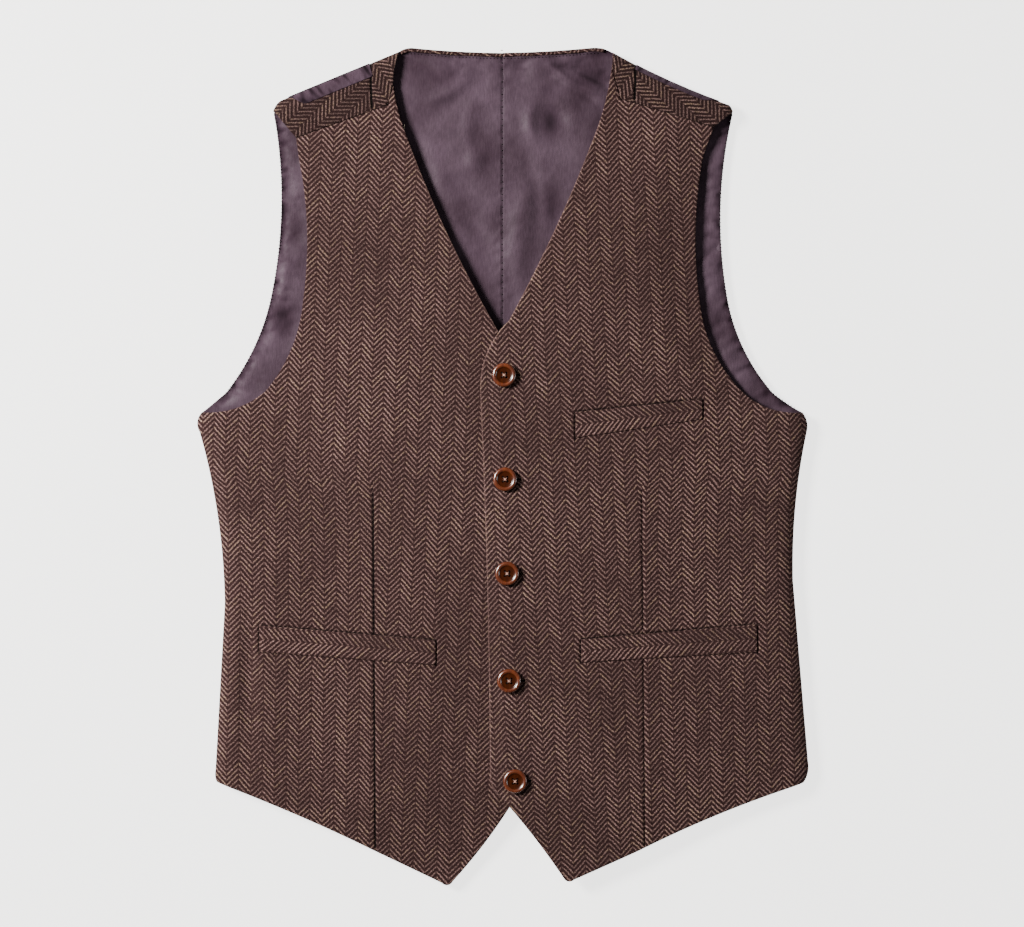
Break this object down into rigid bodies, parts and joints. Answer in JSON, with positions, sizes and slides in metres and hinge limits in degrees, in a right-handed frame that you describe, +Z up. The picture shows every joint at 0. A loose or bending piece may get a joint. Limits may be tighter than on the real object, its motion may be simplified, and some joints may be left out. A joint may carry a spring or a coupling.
{
  "type": "waistcoat",
  "caption": "Man's herringbone tweed waistcoat, buttoned and laid flat, with hip and breast welt pockets, a satin back and a cinch strap. Its fronts open.",
  "frame": {"origin": "on the surface the back rests on, below the middle of the garment's outline", "axes": "+Y towards the neck, +X towards the wearer's left side, +Z up out of the front"},
  "size_m": [0.4901, 0.6715, 0.0223],
  "materials": {
    "tweed": "woven wool herringbone",
    "back_satin": "satin with a soft sheen",
    "lining_satin": "satin with a soft sheen",
    "canvas": "plain open weave",
    "pocketing": "plain cotton",
    "buttonhole_thread": "stitched wool",
    "button_thread": "twisted thread",
    "button_horn": "polished, streaked like horn",
    "slider_metal": "satin nickel"
  },
  "bodies": {
    "back": {"back_outer_left": "back_satin", "back_outer_right": "back_satin", "back_lining_left": "lining_satin", "back_lining_right": "lining_satin", "left_side_forepart": "tweed", "right_side_forepart": "tweed", "left_side_lining": "lining_satin", "right_side_lining": "lining_satin", "left_shoulder_yoke": "tweed", "right_shoulder_yoke": "tweed", "back_neck_binding": "tweed", "cinch_strap_left": "back_satin", "cinch_strap_right": "back_satin", "strap_slider": "slider_metal"},
    "left_front": {"left_forepart": "tweed", "left_canvas": "canvas", "left_facing": "tweed", "left_lining": "lining_satin", "left_breast_welt": "tweed", "left_breast_pocket_bag": "pocketing", "left_hip_welt": "tweed", "left_hip_pocket_bag": "pocketing", "buttonhole_1": "buttonhole_thread", "buttonhole_2": "buttonhole_thread", "buttonhole_3": "buttonhole_thread", "buttonhole_4": "buttonhole_thread", "buttonhole_5": "buttonhole_thread"},
    "right_front": {"right_forepart": "tweed", "right_canvas": "canvas", "right_facing": "tweed", "right_lining": "lining_satin", "right_hip_welt": "tweed", "right_hip_pocket_bag": "pocketing", "button_shank_1": "button_thread", "button_shank_2": "button_thread", "button_shank_3": "button_thread", "button_shank_4": "button_thread", "button_shank_5": "button_thread"},
    "button_1": {"button_1": "button_horn", "button_thread_1": "button_thread"},
    "button_2": {"button_2": "button_horn", "button_thread_2": "button_thread"},
    "button_3": {"button_3": "button_horn", "button_thread_3": "button_thread"},
    "button_4": {"button_4": "button_horn", "button_thread_4": "button_thread"},
    "button_5": {"button_5": "button_horn", "button_thread_5": "button_thread"}
  },
  "joints": [
    {"name": "left_front_open", "type": "hinge", "parent": "back", "child": "left_front", "pos_m": [0.0871, 0.32, 0.014], "axis": [-0.2724, 0.9622, 0], "range_deg": [0, 170], "deforming": ["buttonhole_1", "buttonhole_2", "buttonhole_3", "buttonhole_4", "buttonhole_5"]},
    {"name": "right_front_open", "type": "hinge", "parent": "back", "child": "right_front", "pos_m": [-0.088, 0.306, 0.014], "axis": [-0.2514, -0.9679, 0], "range_deg": [0, 102]},
    {"name": "button_1_twist", "type": "hinge", "parent": "right_front", "child": "button_1", "pos_m": [0.0008, 0.0732, 0.018], "axis": [0, 0, 1], "range_deg": [-40, 40]},
    {"name": "button_2_twist", "type": "hinge", "parent": "right_front", "child": "button_2", "pos_m": [0.0016, -0.01, 0.018], "axis": [0, 0, 1], "range_deg": [-40, 40]},
    {"name": "button_3_twist", "type": "hinge", "parent": "right_front", "child": "button_3", "pos_m": [0.0032, -0.0852, 0.018], "axis": [0, 0, 1], "range_deg": [-40, 40]},
    {"name": "button_4_twist", "type": "hinge", "parent": "right_front", "child": "button_4", "pos_m": [0.0048, -0.1708, 0.018], "axis": [0, 0, 1], "range_deg": [-40, 40]},
    {"name": "button_5_twist", "type": "hinge", "parent": "right_front", "child": "button_5", "pos_m": [0.0096, -0.2508, 0.018], "axis": [0, 0, 1], "range_deg": [-40, 40]}
  ],
  "couplings": [
    {"joint": "right_front_open", "follows": "left_front_open", "ratio": 0.6}
  ]
}
